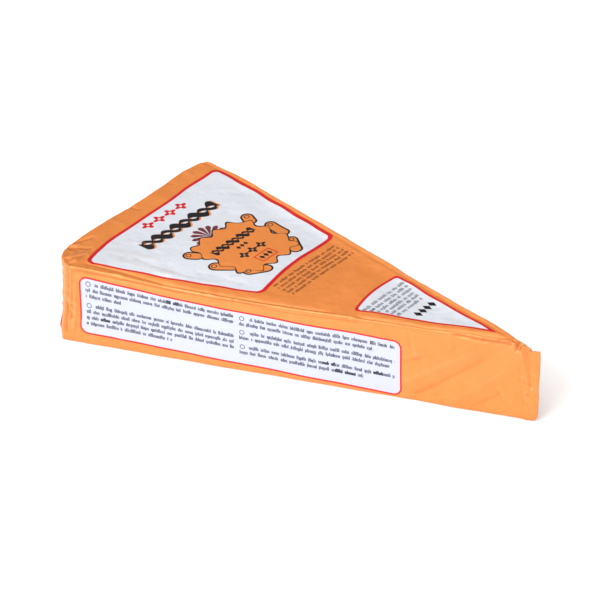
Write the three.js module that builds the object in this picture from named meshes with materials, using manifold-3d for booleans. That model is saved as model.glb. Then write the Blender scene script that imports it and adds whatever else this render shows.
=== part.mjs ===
// A wedge of soft cheese, one twelfth of a wheel, in a printed foil-and-paper sheet.
// The sheet is one piece: it lies over the top and both cut sides, laps along the underside,
// is folded down and up over the heel like a parcel, and is pinched into a fin at the tip.
// Millimetres, +Z up, the tip towards +X, the heel (the old outside of the wheel) towards -X.
// The origin is on the resting surface, under the middle of the package's box.
import * as THREE from "three";
import { mergeVertices } from "three/addons/utils/BufferGeometryUtils.js";
import Module from "manifold-3d";

const wasm = await Module();
wasm.setup();

// Driving dimensions.
const WHEEL_RADIUS = 162; // apex to heel
const WEDGE_ANGLE = 30; // degrees between the two cut sides
const HEIGHT = 28; // over the sheet
const HEEL_HOLLOW = 1.6; // how far the tight sheet draws the heel in between its corners
const HEEL_HOLLOW_AT = 2.5; // degrees from the middle to the deepest place
const HEEL_HOLLOW_SPAN = 26; // degrees from crest to crest
const CORNER = 9; // length of side that each rounded heel corner takes
const APEX_ROUND = 2.2; // length of side that the rounded apex takes
const EDGE_RADIUS = 2.2; // rounding of the top and bottom edges
const SHEET = 0.5; // wall of the sheet
const AIR = 0.3; // space between the sheet and the cheese
const FIN_REACH = 4.6; // pinched fin, past the apex
const FIN_ROOT = 7; // pinched fin, behind the apex
const FIN_TURN = -7; // degrees that the fin leans towards the near side
const FIN_DROP = 0.9; // the fin's top edge, under the top face
const FIN_FOOT = 0.8; // the fin's bottom edge, over the resting surface
const FIN_TUCK = 2.5; // size of the fin's rounded lower corner
const SEAM_WIDTH = 0.4; // open line of the lap under the package
const SEAM_LENGTH = 118;
const LOWER_FLAP_TOP = 10.5; // height that the lower heel flap reaches
const UPPER_FLAP_BOTTOM = 7; // height that the upper heel flap hangs down to
const UPPER_FLAP_SLANT = 14; // how far the upper flap's free edge is shorter at each end
const LOWER_FLAP_SLANT = 4; // the same for the lower flap
const FLAP_MARGIN = 4; // degrees of heel that a flap leaves bare, both ends together
const HEEL_STEPS = 24;
const CURVE_STEPS = 6;
const ROUND_STEPS = 4;

const radians = THREE.MathUtils.degToRad;
const halfAngle = radians(WEDGE_ANGLE / 2);

// Distance from the apex to the heel at an angle from the wedge's middle line.
function heelRadius(angle) {
  const phase = (angle - radians(HEEL_HOLLOW_AT)) / radians(HEEL_HOLLOW_SPAN);
  return WHEEL_RADIUS - HEEL_HOLLOW * Math.cos(2 * Math.PI * phase);
}

function polar(radius, angle) {
  return new THREE.Vector2(-radius * Math.cos(angle), radius * Math.sin(angle));
}

// The corner where a side, moved in by inset, meets the heel, moved in as well. side is -1 near, 1 far.
function heelCorner(inset, side) {
  const apex = inset / Math.sin(halfAngle);
  const radius = heelRadius(side * halfAngle) - inset;
  const along = Math.sqrt(radius ** 2 - inset ** 2) - apex * Math.cos(halfAngle);
  return new THREE.Vector2(
    -apex - along * Math.cos(halfAngle),
    side * along * Math.sin(halfAngle),
  );
}

// The wedge seen from above, moved in by inset, as the same number of points for every inset.
function outline(inset) {
  const apex = new THREE.Vector2(-inset / Math.sin(halfAngle), 0);
  const near = heelCorner(inset, -1);
  const far = heelCorner(inset, 1);
  const from = (start, end, distance) =>
    start.clone().add(end.clone().sub(start).setLength(distance));
  const curve = (a, corner, b) =>
    new THREE.QuadraticBezierCurve(a, corner, b).getPoints(CURVE_STEPS);
  const turn = halfAngle - CORNER / WHEEL_RADIUS;
  const heel = [];
  for (let i = 0; i <= HEEL_STEPS; i++) {
    const angle = turn - (2 * turn * i) / HEEL_STEPS;
    heel.push(polar(heelRadius(angle) - inset, angle));
  }
  return [
    ...curve(from(apex, near, APEX_ROUND), apex, from(apex, far, APEX_ROUND)),
    ...curve(from(far, apex, CORNER), far, heel[0]).slice(0, -1),
    ...heel,
    ...curve(heel.at(-1), near, from(near, apex, CORNER)).slice(1),
  ];
}

// A closed solid through outlines of equal point count, each at its height.
function loft(levels) {
  const count = levels[0].points.length;
  const places = levels.flatMap(({ points, z }) => points.flatMap((p) => [p.x, p.y, z]));
  const faces = [];
  for (let level = 0; level + 1 < levels.length; level++) {
    for (let i = 0; i < count; i++) {
      const a = level * count + i;
      const b = level * count + ((i + 1) % count);
      faces.push(a, b, b + count, a, b + count, a + count);
    }
  }
  const last = (levels.length - 1) * count;
  for (const [a, b, c] of THREE.ShapeUtils.triangulateShape(levels[0].points, []))
    faces.push(c, b, a);
  for (const [a, b, c] of THREE.ShapeUtils.triangulateShape(levels.at(-1).points, []))
    faces.push(last + a, last + b, last + c);
  return new THREE.BufferGeometry()
    .setAttribute("position", new THREE.Float32BufferAttribute(places, 3))
    .setIndex(faces);
}

// The whole wedge, moved in all round by inset, with its top and bottom edges rounded.
function wedge(inset) {
  const levels = [];
  const radius = EDGE_RADIUS;
  for (let i = 0; i <= ROUND_STEPS; i++) {
    const turn = (Math.PI / 2) * (i / ROUND_STEPS);
    const points = outline(inset + radius * (1 - Math.sin(turn)));
    levels.push({ points, z: inset + radius * (1 - Math.cos(turn)) });
  }
  const upper = levels.map(({ points, z }) => ({ points, z: HEIGHT - z })).reverse();
  return loft([...levels, ...upper]);
}

// A heel flap: a band of sheet over the heel, lift outside it, between two heights.
// Its free edge, at freeZ, is shorter by slant at each end than its folded edge, at foldZ.
function heelFlap(lift, foldZ, freeZ, slant) {
  const turn = halfAngle - radians(FLAP_MARGIN / 2);
  const arc = (offset) =>
    Array.from({ length: HEEL_STEPS + 1 }, (_, i) => {
      const angle = turn - (2 * turn * i) / HEEL_STEPS;
      return polar(heelRadius(angle) + offset, angle);
    });
  const root = -SHEET / 2; // half of the wall under it, so that it joins the sheet
  const band = new THREE.Shape([...arc(root), ...arc(lift + SHEET).reverse()]);
  const low = Math.min(foldZ, freeZ);
  const tall = Math.abs(foldZ - freeZ);
  const bandSolid = new THREE.ExtrudeGeometry(band, { depth: tall, bevelEnabled: false });
  bandSolid.translate(0, 0, low);

  const half = WHEEL_RADIUS * Math.sin(turn) + SHEET;
  const trapezium = new THREE.Shape([
    new THREE.Vector2(-half, foldZ),
    new THREE.Vector2(half, foldZ),
    new THREE.Vector2(half - slant, freeZ),
    new THREE.Vector2(-half + slant, freeZ),
  ]);
  const cutter = new THREE.ExtrudeGeometry(trapezium, {
    depth: 2 * WHEEL_RADIUS,
    bevelEnabled: false,
  });
  // The trapezium's plane is turned to stand across the heel.
  cutter.rotateX(Math.PI / 2).rotateZ(Math.PI / 2).translate(-2 * WHEEL_RADIUS, 0, 0);
  return solid(bandSolid).intersect(solid(cutter));
}

// The pinched fin: two thicknesses of sheet standing out of the apex.
function tipFin() {
  const top = HEIGHT - FIN_DROP;
  const face = new THREE.Shape();
  face.moveTo(-FIN_ROOT, FIN_FOOT);
  face.lineTo(FIN_REACH - FIN_TUCK, FIN_FOOT);
  face.quadraticCurveTo(FIN_REACH, FIN_FOOT, FIN_REACH, FIN_FOOT + FIN_TUCK);
  face.lineTo(FIN_REACH, top);
  face.lineTo(-FIN_ROOT, top);
  const plate = new THREE.ExtrudeGeometry(face, {
    depth: 2 * SHEET,
    bevelEnabled: false,
    curveSegments: CURVE_STEPS,
  });
  plate.translate(0, 0, -SHEET).rotateX(Math.PI / 2).rotateZ(radians(FIN_TURN));
  return solid(plate);
}

// The open line of the lap, through the bottom wall only.
function seamCut() {
  const cut = new THREE.BoxGeometry(SEAM_LENGTH, SEAM_WIDTH, 2 * SHEET + AIR);
  cut.translate(-WHEEL_RADIUS / 2, 0, 0);
  return solid(cut);
}

// A three.js geometry as a manifold-3d solid, and back.
function solid(geometry) {
  const bare = geometry.clone();
  bare.deleteAttribute("normal");
  bare.deleteAttribute("uv");
  const merged = mergeVertices(bare, 1e-3);
  const vertProperties = new Float32Array(merged.attributes.position.array);
  const triVerts = new Uint32Array(merged.index.array);
  const made = new wasm.Manifold(new wasm.Mesh({ numProp: 3, vertProperties, triVerts }));
  if (made.volume() > 0) return made;
  for (let i = 0; i < triVerts.length; i += 3)
    [triVerts[i + 1], triVerts[i + 2]] = [triVerts[i + 2], triVerts[i + 1]];
  return new wasm.Manifold(new wasm.Mesh({ numProp: 3, vertProperties, triVerts }));
}

function geometryOf(manifold) {
  const mesh = manifold.getMesh();
  return new THREE.BufferGeometry()
    .setAttribute("position", new THREE.BufferAttribute(mesh.vertProperties, 3))
    .setIndex(new THREE.BufferAttribute(mesh.triVerts, 1));
}

function piece(name, manifold, colour, roughness) {
  const material = new THREE.MeshStandardMaterial({ color: colour, roughness, metalness: 0 });
  const mesh = new THREE.Mesh(geometryOf(manifold), material);
  mesh.name = name;
  return mesh;
}

const sheet = solid(wedge(0))
  .add(heelFlap(0, HEIGHT - EDGE_RADIUS, UPPER_FLAP_BOTTOM, UPPER_FLAP_SLANT))
  .add(heelFlap(SHEET, EDGE_RADIUS, LOWER_FLAP_TOP, LOWER_FLAP_SLANT))
  .add(tipFin())
  .subtract(solid(wedge(SHEET)))
  .subtract(seamCut());

const packageGroup = new THREE.Group();
packageGroup.add(piece("wrapper", sheet, 0xf09a55, 0.42));
packageGroup.add(piece("cheese_wedge", solid(wedge(SHEET + AIR)), 0xf3e6bd, 0.6));

const box = new THREE.Box3().setFromObject(packageGroup);
const middle = box.getCenter(new THREE.Vector3());
packageGroup.position.set(-middle.x, -middle.y, -box.min.z);

export default packageGroup;
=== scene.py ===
"""A long wedge of soft cheese in its printed foil-and-paper sheet.

Every size here is in millimetres, and the wedge is laid out about its apex, where the two cut sides
would meet: the heel towards -X, the near side towards -Y, +Z up, the resting surface at 0. placed()
turns that into the frame's metres. The sheet is one lattice over the whole wedge with its fin, and
its folded heel and the lap under it are thin sheets of their own.
"""
import math
from functools import partial

import bpy
import numpy as np
from mathutils import Matrix, Vector


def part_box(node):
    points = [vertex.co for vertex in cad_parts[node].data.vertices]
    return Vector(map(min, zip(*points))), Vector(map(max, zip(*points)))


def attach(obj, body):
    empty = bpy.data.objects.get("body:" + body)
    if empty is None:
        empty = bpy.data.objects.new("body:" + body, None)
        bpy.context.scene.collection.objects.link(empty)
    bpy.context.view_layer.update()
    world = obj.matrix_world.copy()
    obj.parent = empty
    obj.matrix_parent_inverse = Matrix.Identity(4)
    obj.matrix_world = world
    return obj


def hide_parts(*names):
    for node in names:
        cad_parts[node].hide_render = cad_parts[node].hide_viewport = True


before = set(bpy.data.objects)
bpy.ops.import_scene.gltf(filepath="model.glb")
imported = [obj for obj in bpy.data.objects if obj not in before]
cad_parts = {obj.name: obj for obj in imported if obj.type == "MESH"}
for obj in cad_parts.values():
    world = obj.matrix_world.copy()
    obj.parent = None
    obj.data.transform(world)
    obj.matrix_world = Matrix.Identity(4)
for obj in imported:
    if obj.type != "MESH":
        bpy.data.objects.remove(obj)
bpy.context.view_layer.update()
MM = 0.001

# Driving dimensions of the wedge, as in the frame.
WHEEL_RADIUS = 162.0
HALF_ANGLE = math.radians(15.0)
HEEL_HOLLOW = 1.6  # how far the tight sheet draws the heel in between its corners
HEEL_HOLLOW_AT = math.radians(2.5)  # from the middle to the deepest place
HEEL_HOLLOW_SPAN = math.radians(26.0)  # from crest to crest
FRAME_FIN_REACH = 4.627  # the frame's own fin, past the apex

# The folded sheet and the cheese in it, drawn finer than in the frame.
EDGE_RADIUS = 0.9  # rounding of the top and bottom edges
FIN_REACH = 4.55  # the fin's end, past the apex
FIN_HALF = 0.28  # half the fin's thickness
FIN_LEAN = math.radians(7.0)  # towards the near side
FIN_DROP = 0.9  # the fin's top edge, under the top face
FIN_TUCK = 2.4  # height of the fin's lower corner at its end
FIN_BEND = 0.5  # how much the fin's end turns back to the far side
FIN_WAVE = 0.22  # how far the fin's end waves
SHEET = 0.24  # drawn thickness of a free edge, several times the real laminate's
NEAR_SAG = 0.85  # how far the near top edge hangs slack at its middle
FAR_RISE = 0.8  # how far the far top edge stands up
HEEL_BUNCH = 1.5  # how far the bunched sheet stands up over the near heel corner
TIP_BUNCH = 0.85  # the same at the tip
CORNER_FOOT = 1.9  # radius of the near heel corner at the foot
CORNER_SLACK = 6.6  # how much larger it is at the top, where the sheet is slack
FAR_CORNER = 3.0  # radius of the far heel corner
WALL = 1.3  # from the package's outside to the inner side of the sheet, slack and folds included
CHEESE_INSET = 1.5  # from the package's outside to the cheese
LOWER_FLAP_TOP = 10.5  # height that the lower heel flap reaches
UPPER_FLAP_BOTTOM = 7.0  # height that the upper heel flap hangs down to
UPPER_FLAP_FOLD = 1.3  # how far under the top the upper flap starts
LOWER_FLAP_FOOT = 1.0  # height that the lower flap starts at
UPPER_FLAP_SLANT = 14.0  # how far the upper flap's free edge is shorter at each end
LOWER_FLAP_SLANT = 4.0  # the same for the lower flap
LOWER_FLAP_SKEW = 0.012  # radians that the lower flap's near end is moved to the near side
LAP_HEEL_END = 152.0  # the lap under the package: its end at the heel, from the apex
LAP_TIP_END = 20.0  # and its end at the tip
FLAP_MARGIN = math.radians(4.0)  # heel that a flap leaves bare, both ends together

wrapper_low, wrapper_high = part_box("wrapper")
HEIGHT = (wrapper_high.z - wrapper_low.z) / MM
APEX = Vector((wrapper_high.x / MM - FRAME_FIN_REACH, 0.0, 0.0))
TINY = 1e-6


# ---------------------------------------------------------------- small helpers


def smooth(x, low, high):
    """0 below low, 1 above high, with a soft turn at both."""
    share = np.clip((x - low) / (high - low), 0.0, 1.0)
    return share * share * (3.0 - 2.0 * share)


def bell(x, width):
    return np.exp(-np.square(x / width))


def graded(*stops):
    """Places from the first stop to the last. A stop is (place, spacing of the stretch after it)."""
    runs = [
        np.linspace(a, b, max(1, round(abs(b - a) / step)), endpoint=False)
        for (a, step), (b, _) in zip(stops, stops[1:])
    ]
    return np.append(np.concatenate(runs), stops[-1][0])


def wander(x, length, seed):
    """A slow seeded wave of about -1 to 1, whose turns are about length apart."""
    random = np.random.default_rng(seed)
    waves = [
        np.sin(x / length * random.uniform(1.5, 4.5) + random.uniform(0.0, 6.3))
        for _ in range(5)
    ]
    return sum(waves) / 2.6


def placed(points):
    """Points about the apex in millimetres, as the frame's metres."""
    return (np.asarray(points, float) + np.array(APEX)) * MM


def in_scene(name, data):
    """A new object in the scene, at the origin."""
    made = bpy.data.objects.new(name, data)
    bpy.context.scene.collection.objects.link(made)
    return made


def mesh_piece(name, points, quads, flat, attributes):
    """An object from points about the apex, with a named value for each point by attribute.

    flat holds each face corner's place on the printed sheet, and is None for a piece without print.
    """
    mesh = bpy.data.meshes.new(name)
    mesh.from_pydata(placed(points).tolist(), [], [list(q) for q in quads])
    if flat is not None:
        layer = mesh.uv_layers.new(name="flat_sheet")
        layer.data.foreach_set("uv", np.asarray(flat, np.float32).ravel())
    for key, values in attributes.items():
        layer = mesh.attributes.new(key, "FLOAT", "POINT")
        layer.data.foreach_set("value", np.asarray(values, np.float32))
    mesh.shade_smooth()
    return in_scene(name, mesh)


def normals_of(points, quads):
    """The unit normal at each point of a closed mesh of quads."""
    corners = points[quads]
    across = np.cross(corners[:, 2] - corners[:, 0], corners[:, 3] - corners[:, 1])
    total = np.zeros_like(points)
    for corner in range(4):
        np.add.at(total, quads[:, corner], across)
    return total / np.maximum(np.linalg.norm(total, axis=1, keepdims=True), 1e-12)


def crest_of(points, quads, normals):
    """How far each point stands above the mean of its neighbours, in millimetres."""
    total = np.zeros_like(points)
    count = np.zeros(len(points))
    for corner in range(4):
        here, there = quads[:, corner], quads[:, (corner + 1) % 4]
        np.add.at(total, here, points[there])
        np.add.at(total, there, points[here])
        np.add.at(count, here, 1)
        np.add.at(count, there, 1)
    return np.einsum("ij,ij->i", points - total / count[:, None], normals)


# ---------------------------------------------------------------- the wedge as a lattice


def heel_shift(angle, z):
    """How far the heel stands off its circle at an angle from the middle line, and a height."""
    phase = (angle - HEEL_HOLLOW_AT) / HEEL_HOLLOW_SPAN
    drawn_in = 0.8 * bell(angle + HALF_ANGLE, math.radians(3.0)) * smooth(z, 3.0, 12.0)
    return -HEEL_HOLLOW * np.cos(2.0 * math.pi * phase) - drawn_in


def half_width(along, thin):
    """Half the wedge's width at a distance from the apex, and thin past it, with a soft turn."""
    width = along * HALF_ANGLE
    return 0.5 * (width + thin + np.sqrt(np.square(width - thin) + 0.12))


def box_lattice(count_x, count_y, count_z):
    """The point numbers on each side of a box lattice, turned so that its quads face outwards."""
    shell = np.ones((count_x, count_y, count_z), bool)
    shell[1:-1, 1:-1, 1:-1] = False
    number = np.full(shell.shape, -1)
    number[shell] = np.arange(shell.sum())
    sides = {
        "top": number[:, :, -1],
        "bottom": number[:, :, 0].T,
        "near": number[:, 0, :],
        "far": number[:, -1, :].T,
        "tip": number[-1, :, :],
        "heel": number[0, :, :].T,
    }
    return np.argwhere(shell), sides


def quads_of(side):
    return np.stack(
        [side[:-1, :-1], side[1:, :-1], side[1:, 1:], side[:-1, 1:]], axis=-1
    ).reshape(-1, 4)


def round_edges(distances, depth, radius):
    """Rounds the edge where the sides meet the top or the bottom.

    distances are from each side, in plan, and depth is from the top or bottom: a point of the box's
    skin has one of them at 0. Returns both after the rounding.
    """
    least = np.minimum.reduce(list(distances.values()))
    inside = (least < radius) & (depth < radius)
    turn = math.pi / 4 * (1.0 - np.clip(np.maximum(least, depth) / radius, 0.0, 1.0))
    small, large = radius * (1.0 - np.cos(turn)), radius * (1.0 - np.sin(turn))
    flat = depth <= 1e-9
    new_least = np.where(flat, large, small)
    new_depth = np.where(flat, small, large)
    moved = {}
    for name, distance in distances.items():
        stretch = (radius - new_least) / np.maximum(radius - least, 1e-9)
        near_edge = inside & (distance < radius)
        moved[name] = np.where(near_edge, new_least + (distance - least) * stretch, distance)
    return moved, np.where(inside, new_depth, depth)


def round_corner(first, second, radius, cut):
    """Rounds the upright corner between two sides, seen from above.

    radius is the length of side that the rounding takes. cut is 0 for a round corner and 1 for one
    cut straight across the round one's middle, with an edge at both ends of the cut.
    """
    least, most = np.minimum(first, second), np.maximum(first, second)
    inside = most < radius
    own = np.maximum(radius - least, 1e-9)
    share = 1.0 - np.clip((most - least) / own, 0.0, 1.0)
    turn = math.pi / 4 * share
    side, across = np.clip(2.0 * share, 0.0, 1.0), np.clip(2.0 * share - 1.0, 0.0, 1.0)
    taken = own * (2.0 - math.sqrt(2.0))
    straight_least = least + taken / 2 * across
    straight_most = least + own - (own - taken) * side - taken / 2 * across
    new_least = (1.0 - cut) * (radius - own * np.cos(turn)) + cut * straight_least
    new_most = (1.0 - cut) * (radius - own * np.sin(turn)) + cut * straight_most
    swap = first > second
    return (
        np.where(inside, np.where(swap, new_most, new_least), first),
        np.where(inside, np.where(swap, new_least, new_most), second),
    )


def wedge_lattice(along, bands, heights, edge, corners, thin):
    """The wedge's skin: points, quads by side, and each point's place on the sharp box before rounding.

    along runs from the heel to the tip, bands holds the spacing across (near, middle, far), and
    heights runs from the underside to the top. corners gives the heel's near and far corner: its
    radius for a height, and how straight it is cut.
    """
    near_band, middle, far_band = bands
    across_count = len(near_band) + len(middle) + len(far_band)
    index, sides = box_lattice(len(along), across_count, len(heights))
    half = half_width(along, thin)
    # The bands along the edges get narrower where the wedge is under 24 mm wide.
    scale = np.minimum(1.0, half / 12.0)
    low = -half[:, None] + scale[:, None] * near_band
    high = half[:, None] - scale[:, None] * far_band[::-1]
    inner_low = -half + scale * (2 * near_band[-1] - near_band[-2])
    inner_high = half - scale * (2 * far_band[-1] - far_band[-2])
    inner = inner_low[:, None] + (inner_high - inner_low)[:, None] * middle
    across = np.concatenate([low, inner, high], axis=1)

    t = along[index[:, 0]]
    s = across[index[:, 0], index[:, 1]]
    z = heights[index[:, 2]]
    w = half[index[:, 0]]
    total = heights[-1]
    box = {"along": t, "across": s, "z": z, "half": w, "angle": s / w * HALF_ANGLE}

    distances = {"near": s + w, "far": w - s, "heel": along[0] - t, "tip": t - along[-1]}
    radius = np.minimum(edge, 0.9 * w)
    distances, over = round_edges(distances, total - z, radius)
    distances, under = round_edges(distances, total - over, radius)
    z = under
    for side, (corner, cut) in zip(("near", "far"), corners):
        distances[side], distances["heel"] = round_corner(
            distances[side], distances["heel"], corner(z), cut
        )
    s = np.where(distances["near"] < distances["far"], distances["near"] - w, w - distances["far"])
    from_heel = along[0] - distances["heel"]
    from_tip = along[-1] + distances["tip"]
    t = np.where(distances["tip"] < edge, from_tip, from_heel)

    # The heel's hollow fades out over 30 mm towards the tip.
    angle = s / w * HALF_ANGLE
    pull = smooth(t, along[0] - 30.0, along[0])
    reach = t + heel_shift(angle, z) * pull
    points = np.stack([-reach * np.cos(angle), s * np.sinc(angle / math.pi), z], axis=1)
    quads = {name: quads_of(side) for name, side in sides.items()}
    return points, quads, box


# ---------------------------------------------------------------- folds in the sheet


def fold(place, start, end, width, height, bow=0.0):
    """The height that a fold adds: a crest along a line, or a valley where height is under 0.

    place holds two coordinates of each point on its face. The fold fades at both ends, and bow
    moves its middle sideways. A wide fold has a rounder crest than a narrow one.
    """
    sharp = 0.22 + 0.35 * max(width - 1.0, 0.0)
    start, end = np.array(start), np.array(end)
    length = np.linalg.norm(end - start)
    line = (end - start) / length
    offset = place - start
    share = (offset @ line) / length
    aside = offset @ np.array([-line[1], line[0]]) - 4.0 * bow * share * (1.0 - share)
    fade = smooth(share, 0.0, 0.12) * smooth(1.0 - share, 0.0, 0.12)
    return height * fade * np.exp(-(np.hypot(aside, sharp) - sharp) / width)


# Folds on the near side and over its top edge: (u, v) is (distance from the apex, distance up from
# the top edge, or in over the top where v is over 0).
NEAR_FOLDS = [
    # start, end, width, height, bow
    ((154.0, 3.4), (118.0, 1.3), 0.6, -0.42, -0.3),
    ((130.0, 1.4), (64.0, 1.4), 0.5, -0.42, 0.2),
    ((158.0, -1.5), (84.0, -1.3), 0.45, -0.42, -0.1),
    ((120.0, -2.3), (52.0, -1.6), 0.5, -0.22, 0.2),
    ((60.0, 1.0), (5.0, 1.3), 0.65, -0.70, 0.0),
    ((26.0, -0.7), (4.6, -1.7), 0.5, -0.55, 0.4),
    ((5.6, 0.8), (2.9, -3.0), 0.75, -1.25, 0.0),
    ((4.4, -0.2), (1.8, -2.4), 0.5, 0.35, 0.0),
    ((2.6, -2.5), (-0.4, -18.5), 1.0, 0.8, -0.2),
    ((0.1, 0.4), (-1.5, -15.5), 0.45, -1.6, -0.2),
    ((-1.3, -15.0), (-0.6, -27.5), 0.8, -0.34, 0.0),
    ((3.6, -8.0), (1.6, -24.0), 0.7, -0.22, 0.2),
    ((8.2, -18.0), (8.6, -25.0), 0.6, 0.07, 0.0),
    ((10.0, -19.5), (5.5, -22.5), 0.7, 0.06, 0.0),
    ((157.6, -0.6), (158.6, -17.0), 0.5, 0.36, 0.1),
    ((155.9, -5.0), (157.4, -24.0), 0.5, 0.26, -0.2),
    ((158.9, -1.0), (159.4, -26.0), 0.5, -0.40, 0.2),
    ((160.0, 0.5), (159.8, -9.0), 0.5, -0.40, 0.1),
    ((160.5, -12.0), (157.0, -19.5), 0.6, -0.30, 0.0),
    ((161.0, -10.0), (160.6, -27.0), 0.7, 0.30, 0.0),
    ((41.0, -27.5), (5.0, -0.5), 2.6, -0.52, 0.3),
    ((44.0, -22.0), (12.0, -2.5), 3.0, 0.40, 0.0),
    ((29.0, -27.5), (6.0, -9.5), 2.6, 0.42, 0.3),
    ((40.0, -7.0), (24.0, -5.0), 2.6, 0.30, 0.5),
    ((20.0, -27.0), (9.0, -19.0), 2.0, -0.30, 0.0),
    ((38.0, -10.0), (31.0, -26.0), 3.0, -0.26, 0.4),
    ((118.0, -27.0), (60.0, -3.0), 5.0, 0.16, 0.0),
    ((150.0, -25.0), (104.0, -4.0), 5.0, -0.14, 0.0),
]

# Folds in the top, by the near heel corner and along the heel: (x, y) about the apex.
TOP_FOLDS = [
    ((-160.9, -28.5), (-157.6, -20.0), 0.7, -0.55, 0.3),
    ((-160.6, -36.0), (-158.4, -26.0), 0.7, 0.50, 0.2),
    ((-162.0, -33.0), (-152.5, -27.0), 0.6, -0.45, 0.3),
    ((-157.5, -38.0), (-151.5, -30.0), 0.6, 0.30, -0.2),
    ((-160.5, -31.0), (-155.0, -31.5), 0.5, -0.35, 0.0),
    ((-161.5, 1.5), (-155.0, 2.6), 0.6, -0.18, 0.0),
    ((-161.0, 21.0), (-156.5, 22.0), 0.6, -0.10, 0.0),
    ((-161.5, -9.0), (-154.0, -8.0), 1.0, 0.16, 0.0),
    ((-161.5, 31.0), (-153.5, 29.5), 0.8, 0.20, 0.0),
    ((-150.0, -26.0), (-128.0, -20.0), 1.3, 0.17, 0.6),
    ((-144.0, -29.5), (-120.0, -25.0), 1.3, 0.17, 0.5),
    ((-139.0, -24.5), (-112.0, -22.0), 1.4, -0.16, -0.6),
    ((-149.0, -18.0), (-136.0, -13.0), 1.2, 0.15, 0.3),
    ((-128.0, -27.5), (-104.0, -20.5), 1.5, 0.15, 0.4),
    ((-119.0, -20.0), (-97.0, -17.0), 1.5, -0.14, 0.3),
    ((-147.0, 22.0), (-133.0, 34.0), 1.8, 0.15, 0.5),
]


def sum_of_folds(place, folds, on):
    """The height of all the folds in a list, at the points where on is true."""
    total = np.zeros(len(place))
    part = place[on]
    for start, end, width, height, bow in folds:
        total[on] += fold(part, start, end, width, height, bow)
    return total


def edge_folds(box, near_up, far_up, heel_up, on):
    """The rolled beads that the sheet forms over the wedge's edges."""
    u = box["along"]
    high = np.zeros(len(u))
    reach = smooth(u, 3.0, 14.0)
    bead = 0.26 + 0.12 * wander(u, 17.0, 3)
    high += on["near"] * reach * bead * bell(near_up - 0.15 * wander(u, 23.0, 4), 0.75)
    bead = 0.22 + 0.05 * wander(u, 19.0, 5)
    high += on["far"] * reach * bead * bell(far_up, 0.8)
    high -= on["far"] * reach * 0.16 * bell(far_up - 1.9, 0.6)
    bead = 0.22 + 0.06 * wander(box["across"], 16.0, 6)
    high += on["heel"] * bead * bell(heel_up, 0.9)
    return high


def near_corner(z):
    """Radius of the heel's near corner at a height: tight at the foot, slack at the top."""
    return CORNER_FOOT + CORNER_SLACK * smooth(z, 0.0, 30.0)


def far_corner(z):
    return np.full_like(z, FAR_CORNER)


def near_sag(points):
    """How far the near top edge hangs slack between the heel and the tip."""
    along = np.square(np.sin(math.pi * np.clip((-points[:, 0] - 34.0) / 116.0, 0.0, 1.0)))
    aside = points[:, 1] * math.cos(HALF_ANGLE) - points[:, 0] * math.sin(HALF_ANGLE)
    share = bell(np.clip(aside, 0.0, None), 11.0)
    return NEAR_SAG * along * share * np.square(points[:, 2] / HEIGHT)


def near_rise(u, aside, z):
    """How far the sheet stands up over the near heel corner and the tip, where it is bunched."""
    heel = HEEL_BUNCH * smooth(u, 118.0, 156.0) * bell(aside, 17.0)
    tip = TIP_BUNCH * smooth(u, 0.3, 2.6) * smooth(u, 36.0, 18.0) * bell(aside, 8.0)
    return (heel + tip) * np.square(z / HEIGHT)


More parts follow.
